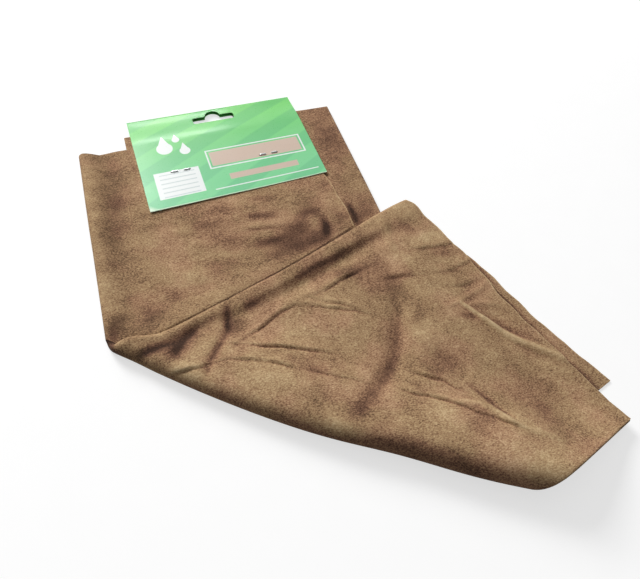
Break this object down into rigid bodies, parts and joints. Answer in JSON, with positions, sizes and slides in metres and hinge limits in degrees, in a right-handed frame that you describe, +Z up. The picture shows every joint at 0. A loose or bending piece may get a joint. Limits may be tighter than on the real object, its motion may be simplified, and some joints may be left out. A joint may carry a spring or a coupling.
{
  "type": "chamois leather",
  "caption": "Brown suede chamois drying leather, folded lengthwise and turned over on a slant, with a glossy green header card stapled to its end and a hang slot in the card.",
  "frame": {"origin": "middle of the lying part's box, on the plane of the table", "axes": "+X across the folded strip from its left fold to its right fold, +Y along the strip towards the header card, +Z up from the table"},
  "size_m": [0.2616, 0.3216, 0.0237],
  "materials": {
    "suede": "napped suede, matt",
    "coated_card": "glossy coated print",
    "staple_wire": "bright wire"
  },
  "bodies": {
    "strip": {"leather_strip": "suede", "header_card": "coated_card", "staple_left": "staple_wire", "staple_right": "staple_wire"},
    "flap": {"leather_flap": "suede"}
  },
  "joints": [
    {"name": "flap_fold", "type": "hinge", "parent": "strip", "child": "flap", "pos_m": [-0.05023, -0.09354, 0.01191], "axis": [0.8192, -0.5736, 0], "range_deg": [0, 170]}
  ]
}
